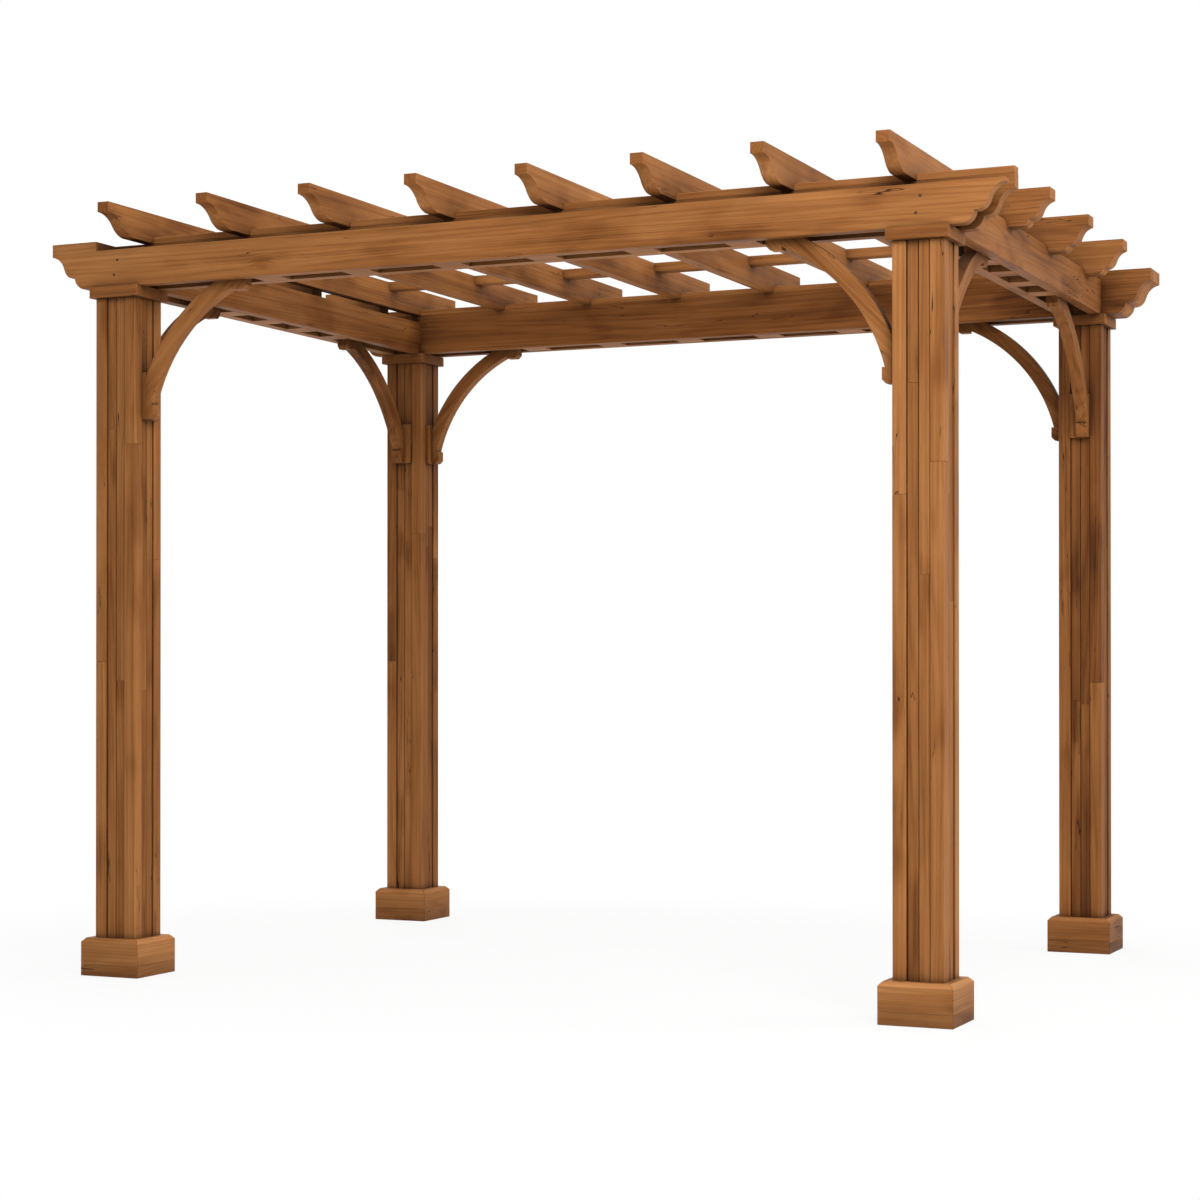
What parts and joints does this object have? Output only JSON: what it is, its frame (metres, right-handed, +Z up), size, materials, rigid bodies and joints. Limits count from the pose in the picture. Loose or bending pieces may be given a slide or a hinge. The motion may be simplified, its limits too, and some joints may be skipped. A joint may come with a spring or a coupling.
{
  "type": "wooden pergola",
  "caption": "Free-standing timber pergola: panelled posts on plinths carry double beams with arched braces, rafters with shaped tails and cross purlins.",
  "frame": {"origin": "on the ground at the centre of the four posts and of the whole object's plan", "axes": "+X to the right along the long front, +Y from the front to the back, +Z up"},
  "size_m": [2.955, 2.262, 2.305],
  "materials": {
    "post_cedar": "stained cedar, satin",
    "plinth_cedar": "stained cedar, satin",
    "collar_cedar": "stained cedar, satin",
    "beam_cedar": "stained cedar, satin",
    "strip_cedar": "stained cedar, satin",
    "spacer_cedar": "stained cedar, satin",
    "rafter_cedar": "stained cedar, satin",
    "purlin_cedar": "stained cedar, satin",
    "brace_cedar": "stained cedar, satin",
    "cleat_cedar": "stained cedar, satin"
  },
  "bodies": {
    "root": {"post_front_left": "post_cedar", "plinth_front_left": "plinth_cedar", "collar_front_left": "collar_cedar", "post_front_right": "post_cedar", "plinth_front_right": "plinth_cedar", "collar_front_right": "collar_cedar", "post_back_left": "post_cedar", "plinth_back_left": "plinth_cedar", "collar_back_left": "collar_cedar", "post_back_right": "post_cedar", "plinth_back_right": "plinth_cedar", "collar_back_right": "collar_cedar", "beam_front_outer": "beam_cedar", "beam_front_inner": "beam_cedar", "beam_back_outer": "beam_cedar", "beam_back_inner": "beam_cedar", "beam_left_outer": "beam_cedar", "beam_left_inner": "beam_cedar", "beam_right_outer": "beam_cedar", "beam_right_inner": "beam_cedar", "rafter_strip_front": "strip_cedar", "rafter_strip_back": "strip_cedar", "spacer_blocks": "spacer_cedar", "rafter_1": "rafter_cedar", "rafter_2": "rafter_cedar", "rafter_3": "rafter_cedar", "rafter_4": "rafter_cedar", "rafter_5": "rafter_cedar", "rafter_6": "rafter_cedar", "rafter_7": "rafter_cedar", "rafter_8": "rafter_cedar", "purlin_front": "purlin_cedar", "purlin_middle": "purlin_cedar", "purlin_back": "purlin_cedar", "brace_front_left": "brace_cedar", "brace_front_right": "brace_cedar", "brace_back_left": "brace_cedar", "brace_back_right": "brace_cedar", "brace_left_front": "brace_cedar", "brace_left_back": "brace_cedar", "brace_right_front": "brace_cedar", "brace_right_back": "brace_cedar", "brace_cleats": "cleat_cedar"}
  },
  "joints": []
}
